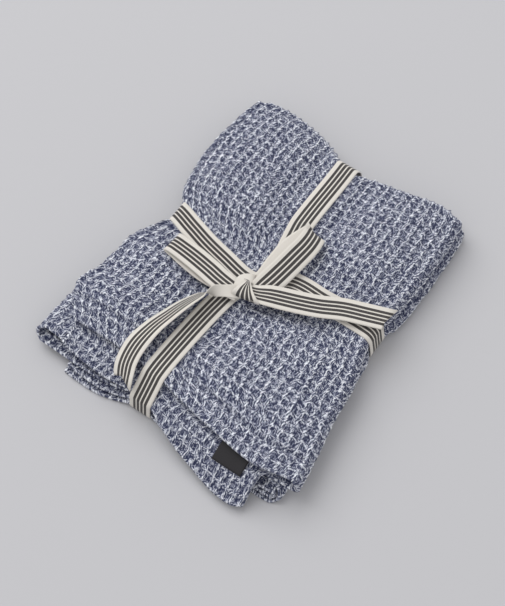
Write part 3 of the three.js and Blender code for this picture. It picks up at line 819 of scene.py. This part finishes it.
def waffle_finish():
    look = {"Roughness": 0.92, "Specular IOR Level": 0.2, "Sheen Weight": 0.1, "Sheen Roughness": 0.5}
    finish, tree, shader = new_finish("marled waffle cotton", look)
    place, along, across = place_in_weave(tree)
    from_ridge = maths(tree, "PINGPONG", across, 0.5)
    from_cross = maths(tree, "PINGPONG", along, 0.5)
    # Painted shade, on top of the pocket's own darker yarn: a dark strip in each pocket, beside the ridge
    # that shades it.
    from_painted_shade = maths(tree, "PINGPONG", maths(tree, "SUBTRACT", across, painted_shade_place), 0.5)
    on_ridge = between(tree, from_ridge, *ridge_fade)
    on_cross = between(tree, from_cross, *ridge_fade)
    shade_beside_ridge = between(tree, from_painted_shade, *painted_shade_fade)
    pocket_and_painted_shade = maths(tree, "MULTIPLY", shade_beside_ridge, between(tree, from_cross, *pocket_shade_fade))
    # The thread that lies on top changes from the ridges to the cross ridges.
    warp = threads(tree, place, along=0.42, across=0.12, shift=0.0)
    weft = threads(tree, place, along=0.12, across=0.36, shift=7.3)
    warp_on_top = between(tree, maths(tree, "SUBTRACT", from_cross, from_ridge), -0.2, 0.0)
    strand = maths(tree, "MULTIPLY_ADD", maths(tree, "SUBTRACT", warp, weft), warp_on_top, weft)
    flecks = between(tree, strand, 0.45, 0.55)
    # Single fibres, and the places where a ridge's light strand turns under the dark one
    fibres = between(tree, noise(tree, place, scale=11.0, detail=1.0, roughness=0.4), 0.36, 0.64)
    turned_up = between(tree, noise(tree, place, scale=1.7, detail=1.0), 0.36, 0.58, 0.45, 1.0)
    # The ridges are lighter, partly from their own yarn and partly as a painted highlight.
    ridge_yarn_and_highlight = maths(tree, "MULTIPLY", on_ridge, turned_up)
    patches = noise(tree, place, scale=0.5)
    shares = [(flecks, 0.64), (fibres, 0.34), (ridge_yarn_and_highlight, 0.28), (on_cross, 0.10), (pocket_and_painted_shade, -0.22),
              (patches, 0.14)]
    lightness = base_lightness
    for part, share in shares:
        lightness = maths(tree, "MULTIPLY_ADD", part, share, lightness)
    tree.links.new(yarn_colour(tree, lightness), shader.inputs["Base Color"])
    raise_threads(tree, shader, strand, strength=1.0, distance=0.0006)
    return finish


# %% [markdown]
# The real cloth is one rectangle of about 0.42 by 0.69 m. It could be cut into the layers that show,
# but one closed sheet keeps its folds whole from every side. So it stays one piece, and takes the place
# of the CAD model's cloth.

# %% Lay the cloth
cloth_points, cloth_places, cloth_faces = build_sheet()
cloth_uv = cloth_places[:, ::-1] / cell_steps
cloth = new_piece("waffle_cloth", cloth_points, cloth_faces, waffle_finish(), cloth_uv)
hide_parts("cloth")
cloth_triangles = sum(len(face) - 2 for face in cloth_faces)
print("cloth triangles:", cloth_triangles)

# %% [markdown]
# The ribbon is one length of thin herringbone tape, cream with four dark stripes on its face and
# plain cream behind. It goes round the bundle both ways and ends in a bow. A curve with a flat profile
# could make it, but a tape is gathered at its knot. So each run is a strip along a smooth line, with a
# lean and a width of its own at every step.

# %% Tape strips
tape_thickness = 0.5
tape_columns = 12


def tape_strip(middles, acrosses, striped, closed=False):
    """A closed strip. striped is 1 when its striped face is on the side that the run turns to."""
    if closed:
        ahead = np.roll(middles, -1, axis=0) - np.roll(middles, 1, axis=0)
    else:
        ahead = np.gradient(middles, axis=0)
    out = np.cross(ahead, acrosses)
    out /= np.linalg.norm(out, axis=-1, keepdims=True)
    lengths = np.linalg.norm(np.diff(middles, axis=0, append=middles[:1]), axis=-1)
    travelled = np.concatenate([[0], np.cumsum(lengths)])
    rows = len(middles) + 1 if closed else len(middles)
    share = np.linspace(-0.5, 0.5, tape_columns + 1)
    points = []
    places = []
    for side in (1, -1):
        for k in range(rows):
            at = k % len(middles)
            base = middles[at] + out[at] * side * tape_thickness / 2
            points.append(base + share[:, None] * acrosses[at] * ribbon_width)
            v = share + 0.5 + (0 if side == striped else 2)
            places.append(np.stack([np.full_like(v, travelled[k] / ribbon_width), v], axis=-1))
    points = np.concatenate(points)
    places = np.concatenate(places)
    wide = tape_columns + 1
    faces = []
    for k in range(rows - 1):
        for c in range(tape_columns):
            a = k * wide + c
            b = a + rows * wide
            faces.append([a, a + wide, a + wide + 1, a + 1])
            faces.append([b, b + 1, b + wide + 1, b + wide])
        a = k * wide
        b = a + rows * wide
        faces.append([a, b, b + wide, a + wide])
        a += tape_columns
        b += tape_columns
        faces.append([a, a + wide, b + wide, b])
    if not closed:
        for k, order in ((0, 1), (rows - 1, -1)):
            for c in range(tape_columns):
                a = k * wide + c
                b = a + rows * wide
                faces.append([a, a + 1, b + 1, b][::order])
    return points, places, faces


# %% [markdown]
# A drawn tape spans hollows. A shrinkwrap would press it into them, so each band follows the convex
# outline of the cloth within its width instead, like a rubber band. The outline is moved out to the
# tape's middle, and its corners are rounded.

# %% A taut line
corner_turn = 0.3  # radians


def hull(points):
    order = points[np.lexsort((points[:, 1], points[:, 0]))]

    def half(line):
        out = []
        for p in line:
            while len(out) > 1:
                a, b = out[-2], out[-1]
                if (b[0] - a[0]) * (p[1] - a[1]) - (b[1] - a[1]) * (p[0] - a[0]) > 1e-9:
                    break
                out.pop()
            out.append(p)
        return out[:-1]

    return np.array(half(order) + half(order[::-1]))


def taut_loop(points, clearance, step):
    corners = hull(points)
    rounded = []
    for p, before, after in zip(corners, np.roll(corners, 1, axis=0), np.roll(corners, -1, axis=0)):
        first = math.atan2(before[0] - p[0], p[1] - before[1])
        last = math.atan2(p[0] - after[0], after[1] - p[1])
        turn = (last - first) % (2 * math.pi)
        parts = math.ceil(turn / corner_turn)
        for k in range(parts + 1):
            angle = first + turn * k / max(parts, 1)
            rounded.append(p + clearance * np.array([math.cos(angle), math.sin(angle)]))
    line = np.array(rounded + [rounded[0]])
    travelled = np.concatenate([[0], np.cumsum(np.linalg.norm(np.diff(line, axis=0), axis=1))])
    at = np.linspace(0, travelled[-1], int(travelled[-1] / step) + 1)[:-1]
    return np.stack([np.interp(at, travelled, line[:, c]) for c in (0, 1)], axis=-1)


# %% Bands round the bundle
band_step = 2.0
band_clearance = tape_thickness / 2 + 0.35
over_fade = 6
over_gap = 0.15
gathered = {"share": 0.7, "above": 12, "x": -5, "fade": 14}


def cloth_within(distance):
    half = facing * (cloth_thickness + hem_thicker)[..., None] / 2
    faces = np.stack([middle_points + half, middle_points - half])
    near = np.abs(distance(faces[..., 0], faces[..., 1])) < ribbon_width / 2 + gap
    return faces[near]


def cross_band_run():
    found = cloth_within(lambda x, y: x - cross_x(y))
    y, z = taut_loop(found[:, [1, 2]], band_clearance, band_step).T
    slant = (cross_x(y + 1) - cross_x(y - 1)) / 2
    middles = np.stack([cross_x(y), y, z], axis=-1)
    acrosses = np.stack([np.hypot(1, slant), 0 * y, 0 * y], axis=-1)
    return middles, acrosses


def long_band_run():
    """It climbs over the other band, and is gathered on top where it runs under the bow."""
    found = cloth_within(lambda x, y: y - long_y(x))
    x, z = taut_loop(found[:, [0, 2]], band_clearance, band_step).T
    y = long_y(x)
    slant = (long_y(x + 1) - long_y(x - 1)) / 2
    over = (tape_thickness + over_gap) * bed(x - cross_x(y), over_fade)
    narrow = mix(1, gathered["share"], bed(x - gathered["x"], gathered["fade"]))
    share = np.where(z > gathered["above"], narrow, 1)
    middles = np.stack([x, y, z + over], axis=-1)
    acrosses = np.stack([0 * x, np.hypot(1, slant) * share, 0 * x], axis=-1)
    return middles, acrosses


bands = [cross_band_run(), long_band_run()]
print("bands, millimetres round:", [round(len(middles) * band_step) for middles, _ in bands])

# %% [markdown]
# The bow has two loops and two free tails. A simulated tape would lie in folds of its own choice, so
# each run is a short table of points instead, read along one smooth curve. The tables are the same as
# the CAD model's.

# %% Runs of the bow
# A row is x, y and z, the lean in degrees about the run's own length, and the width.
left_loop = [
    (9, -4, 29, 0, 8), (14.5, -15, 27.4, 4, 12), (14.3, -30, 26.3, 5, 15),
    (12.6, -44, 26.3, 5, 15), (11, -52, 26.2, 4, 15), (10.3, -57.4, 26.5, 4, 15),
    (10, -58.8, 27.7, 4, 15), (10, -57.2, 28.8, 4, 15), (10.3, -51, 29, 4, 15),
    (11.5, -40, 29.4, 2, 15), (13.3, -28, 29.6, 2, 15), (14.8, -20, 29.8, 4, 15),
    (15.6, -11, 29.4, 0, 14), (15.5, -4, 28.8, 0, 12),
]
right_loop = [
    (7, -1, 28.5, 0, 8), (-5, 2, 27, 0, 13.5), (-14, 2.2, 26.7, 0, 15),
    (-28, 2.6, 26.7, 0, 15), (-37, 5.2, 27.1, 2, 15), (-42.6, 8, 28, 6, 15),
    (-44.2, 9.2, 29.4, 9, 15), (-42, 10.3, 30.8, 12, 15), (-34, 11.2, 32.2, 17, 15.6),
    (-23.3, 10.4, 32.6, 20, 16), (-12.5, 8.9, 31.6, 19, 16), (-3, 7.2, 30.4, 16, 16),
    (3.5, 5.6, 29.5, 12, 15), (10, 4, 28.6, 4, 13),
]
left_tail = [
    (15, -4, 29.8, 166, 8.5), (17.2, -7.2, 30.4, 166, 8.4), (20.4, -11.8, 31, 158, 7.4),
    (23.4, -15.8, 31.3, 132, 7.6), (26.3, -19, 31.3, 74, 10), (30.3, -21.3, 31, 51, 14),
    (41.9, -26.3, 30.5, 40, 15), (52.2, -29.3, 30.3, 34, 15), (64.2, -32.4, 29.7, 25, 15),
    (78, -33.8, 28.2, 15, 15), (90, -32.2, 25.4, 22, 15), (98, -28.5, 21.8, 40, 15),
]
right_tail = [
    (12, 0.5, 30.6, -10, 11.5), (10.8, 6, 31.6, -8, 13), (7.8, 12.7, 31.8, -2, 14.6),
    (4.9, 19, 31, 0, 15), (0.8, 28.4, 30, 0, 15), (-4.5, 39.6, 29, 0, 15),
    (-11.9, 52.5, 28, 0, 15), (-17.6, 65.7, 26.8, 0, 15), (-22.5, 77, 25.6, 0, 15),
]
left_loop_side = np.array([1, -0.04, 0])
right_loop_side = np.array([-0.2, -0.98, 0])
left_tail_cut = 0.9
right_tail_cut = 0.65

# %% Lines of the bow
def smooth_line(rows, steps):
    """A centripetal curve through the rows, read at even shares of its spans."""
    rows = np.array(rows, float)
    padded = np.vstack([2 * rows[0] - rows[1], rows, 2 * rows[-1] - rows[-2]])
    out = []
    for t in np.linspace(0, len(rows) - 1, steps + 1):
        k = min(int(t), len(rows) - 2)
        p0, p1, p2, p3 = padded[k:k + 4]
        d0, d1, d2 = [max(np.linalg.norm(b - a) ** 0.5, 1e-4) for a, b in ((p0, p1), (p1, p2), (p2, p3))]
        m1 = ((p1 - p0) / d0 - (p2 - p0) / (d0 + d1) + (p2 - p1) / d1) * d1
        m2 = ((p2 - p1) / d1 - (p3 - p1) / (d1 + d2) + (p3 - p2) / d2) * d1
        s = t - k
        cubic = (2 * s ** 3 - 3 * s ** 2 + 1) * p1 + (s ** 3 - 2 * s ** 2 + s) * m1
        out.append(cubic + (3 * s ** 2 - 2 * s ** 3) * p2 + (s ** 3 - s ** 2) * m2)
    return np.array(out)


def bow_run(rows, steps, cut=0, loop_side=None):
    """Middles and widths of a run. A loop's width keeps one direction in plan, for a straight fold."""
    rows = np.array(rows, float)
    middles = smooth_line(rows[:, :3], steps)
    lean = smooth_line(np.pad(rows[:, 3:], ((0, 0), (0, 1))), steps)
    aheads = np.gradient(middles, axis=0)
    acrosses = []
    for ahead, (roll, wide, _) in zip(aheads, lean):
        ahead = ahead / np.linalg.norm(ahead)
        side = np.array([-ahead[1], ahead[0], 0]) if loop_side is None else loop_side
        side = side / np.linalg.norm(side)
        angle = math.radians(roll)
        across = side * math.cos(angle) + np.array([0, 0, math.sin(angle)])
        across -= ahead * (across @ ahead)
        across /= np.linalg.norm(across)
        acrosses.append(across * wide / ribbon_width)
    # The last stretch is slanted up to the cut end.
    acrosses = np.array(acrosses)
    acrosses[-1] += cut * ahead
    return middles, acrosses


# %% [markdown]
# The knot is a turn of the tape that fans out over a pinched fold. A ball would be simpler, but would
# read as a bead. So each of the two is a strip whose edges are given point by point.

# %% The knot
# A row is a point on each edge.
knot_wrap = [
    (6.5, -7.5, 31, 5.5, -4, 30.5), (8.9, -4.3, 33.9, 8.2, -1.1, 33.6),
    (13.9, -6, 34.2, 12.9, 4.1, 34.8), (17.5, -7.2, 33, 15.3, 8.2, 34.4),
    (19, -7.9, 30.6, 16.3, 10.6, 33), (18.6, -7.8, 28, 16, 10.4, 30.4),
]
pinched_fold = [
    (18.4, -8.2, 28.6, 13.5, -9.9, 30.6), (13.3, -5.3, 31.6, 8, -10.6, 31.3),
    (9, -3.6, 32.2, 4.1, -8.6, 31), (7.2, -2, 31.4, 1.2, -5.5, 30),
    (6.3, -0.8, 30, -0.7, -3.5, 28),
]


def edge_run(rows, steps):
    """Middles and widths of a run from the points on its two edges."""
    edges = smooth_line(rows, steps)
    return (edges[:, :3] + edges[:, 3:]) / 2, (edges[:, 3:] - edges[:, :3]) / ribbon_width


# %% [markdown]
# The tape is woven in a fine zigzag, with four dark stripes between cream margins on its face and a
# plain reverse. The stripes could be separate faces, but the tape's own width already says where
# they are, so they are worked out from it. The zigzag is too fine to see from here, and a fine grain
# stands for it in colour and bump.

# %% Striped tape finish
stripe_margin = 0.178
stripe_gap = 0.055
stripe_period = (1 - 2 * stripe_margin + stripe_gap) / 4


def tape_finish():
    look = {"Roughness": 0.8, "Specular IOR Level": 0.25, "Sheen Weight": 0.1}
    finish, tree, shader = new_finish("striped twill tape", look)
    place, _, across = place_in_weave(tree)
    inside = maths(tree, "SUBTRACT", across, stripe_margin)
    into_period = maths(tree, "MODULO", inside, stripe_period)
    stripe = maths(tree, "LESS_THAN", into_period, stripe_period - stripe_gap)
    after_margin = maths(tree, "GREATER_THAN", inside, 0.0)
    before_margin = maths(tree, "LESS_THAN", across, 1 - stripe_margin)
    dark = maths(tree, "MULTIPLY", stripe, maths(tree, "MULTIPLY", after_margin, before_margin))
    grain = noise(tree, place, scale=40.0)
    cream = blend(tree, grain, (0.60, 0.56, 0.51, 1), (0.78, 0.75, 0.70, 1))
    ink = blend(tree, grain, (0.035, 0.032, 0.032, 1), (0.085, 0.078, 0.076, 1))
    tree.links.new(blend(tree, dark, cream, ink), shader.inputs["Base Color"])
    raise_threads(tree, shader, grain, strength=0.4, distance=0.0002)
    return finish


# %% [markdown]
# The real ribbon is one tape from end to end. Here its runs are strips that meet under the knot, where
# the joints don't show, and they become one mesh with one finish. Its area then tells how long the tape
# is.

# %% Tie the ribbon
loop_steps = 110
left_tail_steps = 70
right_tail_steps = 60
wrap_steps = 30
fold_steps = 24


def join_strips(strips):
    points, places, faces = [], [], []
    count = 0
    for strip_points, strip_places, strip_faces in strips:
        points.append(strip_points)
        places.append(strip_places)
        faces += [[corner + count for corner in face] for face in strip_faces]
        count += len(strip_points)
    return np.concatenate(points), np.concatenate(places), faces


def outward_sign(middles, acrosses):
    ahead = np.roll(middles, -1, axis=0) - np.roll(middles, 1, axis=0)
    out = np.cross(ahead, acrosses)
    return 1 if ((middles - middles.mean(axis=0)) * out).sum() > 0 else -1


def tie_ribbon():
    strips = []
    for middles, acrosses in bands:
        strips.append(tape_strip(middles, acrosses, outward_sign(middles, acrosses), closed=True))
    strips.append(tape_strip(*bow_run(left_loop, loop_steps, loop_side=left_loop_side), -1))
    strips.append(tape_strip(*bow_run(right_loop, loop_steps, loop_side=right_loop_side), -1))
    strips.append(tape_strip(*bow_run(left_tail, left_tail_steps, left_tail_cut), 1))
    strips.append(tape_strip(*bow_run(right_tail, right_tail_steps, right_tail_cut), 1))
    strips.append(tape_strip(*edge_run(knot_wrap, wrap_steps), 1))
    strips.append(tape_strip(*edge_run(pinched_fold, fold_steps), -1))
    return join_strips(strips)


ribbon_points, ribbon_places, ribbon_faces = tie_ribbon()
ribbon = new_piece("tape_ribbon", ribbon_points, ribbon_faces, tape_finish(), ribbon_places)
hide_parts("ribbon")
ribbon_area = sum(polygon.area for polygon in ribbon.data.polygons) / 2
print("ribbon area, square metres:", round(ribbon_area, 4))

# %% [markdown]
# A small woven label is sewn under the top flap's hem and hangs out over the layer below. It is a
# short black strip, and its face stays bare here. A flat card would cut into the cloth, so its grid
# follows the height of the layer that it lies on. Its weave is a fine grain.

# %% Label finish
def label_finish():
    finish, tree, shader = new_finish("black label tape", {"Roughness": 0.7})
    grain = noise(tree, place_in_weave(tree)[0], scale=30.0)
    colour = blend(tree, grain, (0.006, 0.005, 0.007, 1), (0.018, 0.016, 0.02, 1))
    tree.links.new(colour, shader.inputs["Base Color"])
    raise_threads(tree, shader, grain, strength=0.4, distance=0.0002)
    return finish


# %% The label
label_steps = 16
label_thickness = 0.6
label_clearance = 0.55


def sew_label():
    steps = label_steps
    wide = steps + 1
    half = label_width / 2
    x = np.linspace(label_start, label_end, wide)[:, None] + np.zeros((1, wide))
    y = np.linspace(label_y - half, label_y + half, wide)[None, :] + 0 * x
    z = level_z(top_level - 1, x, y)
    slope_x = level_z(top_level - 1, x - 1, y) - z
    slope_y = level_z(top_level - 1, x, y - 1) - z
    upward = np.stack([slope_x, slope_y, 1 + 0 * x], axis=-1)
    upward /= np.linalg.norm(upward, axis=-1, keepdims=True)
    rest = np.stack([x, y, z], axis=-1)
    lifts = [cloth_thickness / 2 + label_clearance + lift for lift in (label_thickness, 0)]
    grids = [rest + upward * lift for lift in lifts]
    points = np.concatenate([g.reshape(-1, 3) for g in grids])
    places = np.stack([x / label_width, y / label_width], axis=-1).reshape(-1, 2)
    faces = []
    base = wide * wide
    for i in range(steps):
        for j in range(steps):
            a = i * wide + j
            faces.append([a, a + wide, a + wide + 1, a + 1])
            faces.append([base + a, base + a + 1, base + a + wide + 1, base + a + wide])
    border = list(range(steps)) + [k * wide + steps for k in range(steps)]
    border += [steps * wide + steps - k for k in range(steps)] + [(steps - k) * wide for k in range(steps)]
    for a, b in zip(border, border[1:] + border[:1]):
        faces.append([a, b, base + b, base + a])
    return points, np.concatenate([places, places]), faces


label_points, label_places, label_faces = sew_label()
label = new_piece("woven_label", label_points, label_faces, label_finish(), label_places)
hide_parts("label")
